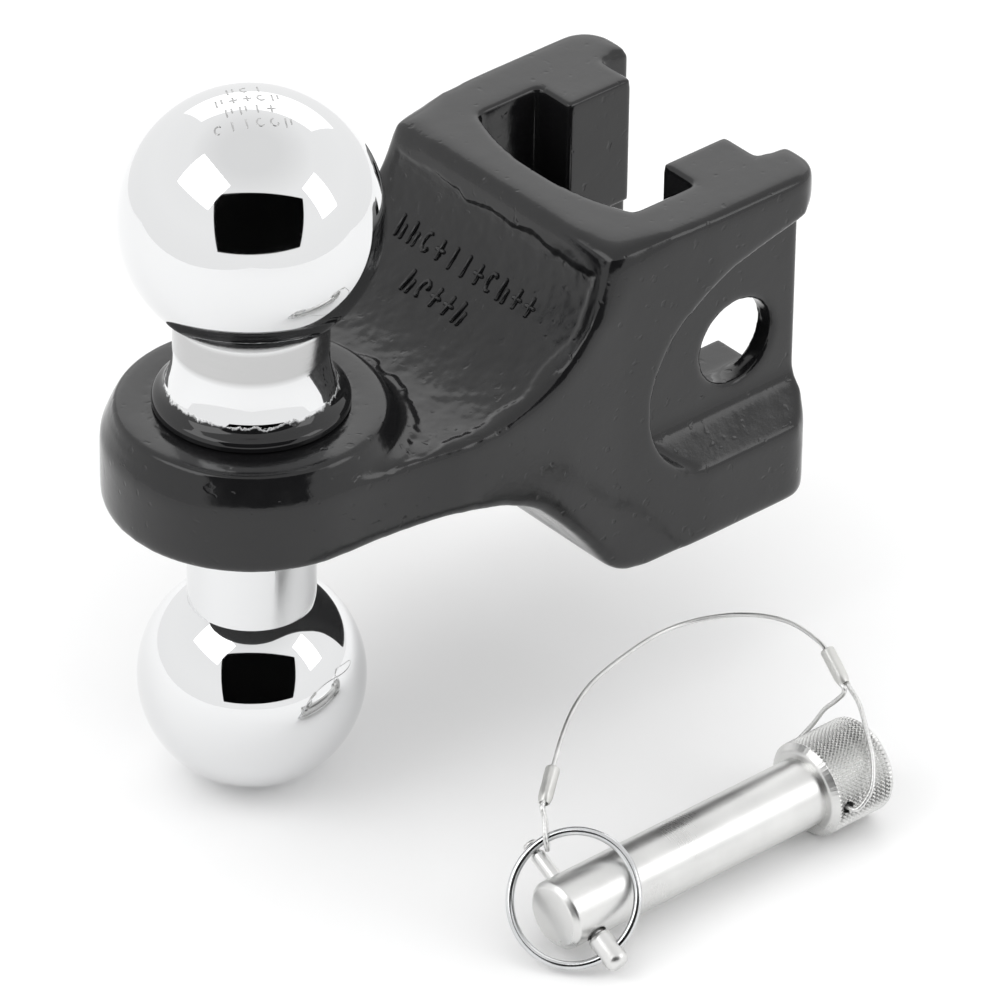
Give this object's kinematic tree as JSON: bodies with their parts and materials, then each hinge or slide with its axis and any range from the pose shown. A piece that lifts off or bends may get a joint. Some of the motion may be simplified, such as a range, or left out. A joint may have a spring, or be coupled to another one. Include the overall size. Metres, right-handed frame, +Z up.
{
  "type": "dual ball hitch mount",
  "caption": "Ball mount with a large tow ball above and a smaller one below, a channel back for a drop bar, and a loose hitch pin with snap pin, wire ring and lanyard.",
  "frame": {"origin": "on the axis of the pin hole, halfway between the two cheeks of the channel, where the drop bar's pin would be", "axes": "+X from the balls towards the vehicle, +Z up with the large ball on top, +Y across the mount along the pin hole"},
  "size_m": [0.1642, 0.1523, 0.1735],
  "materials": {
    "black_paint": "glossy powder coat over a casting, lightly textured",
    "ball_chrome": "mirror chrome",
    "pin_zinc": "turned and zinc plated, satin",
    "ring_steel": "bright drawn wire",
    "cable_steel": "twisted galvanized strands",
    "ferrule_metal": "matt, crimped"
  },
  "bodies": {
    "mount": {"ball_mount": "black_paint", "upper_ball": "ball_chrome", "lower_ball": "ball_chrome"},
    "hitch_pin": {"hitch_pin_shank": "pin_zinc", "hitch_pin_head": "pin_zinc", "lanyard_head_ferrule": "ferrule_metal", "lanyard_head_loop": "cable_steel"},
    "snap_pin": {"snap_pin": "pin_zinc", "lanyard_cable": "cable_steel"},
    "snap_ring": {"snap_ring": "ring_steel", "lanyard_ring_loop": "cable_steel", "lanyard_ring_ferrule": "ferrule_metal"}
  },
  "joints": [
    {"name": "pin_set_slide", "type": "slide", "parent": "mount", "child": "hitch_pin", "axis": [0, -1, 0], "range_m": [0, 0.1]},
    {"name": "snap_pin_slide", "type": "slide", "parent": "hitch_pin", "child": "snap_pin", "axis": [0, -0.891, -0.454], "range_m": [0, 0.004], "deforming": ["lanyard_cable"]},
    {"name": "snap_ring_hinge", "type": "hinge", "parent": "snap_pin", "child": "snap_ring", "pos_m": [-0.1025, -0.10799, -0.07566], "axis": [0.809, -0.2668, 0.5237], "range_deg": [0, 110], "deforming": ["lanyard_cable"]}
  ]
}
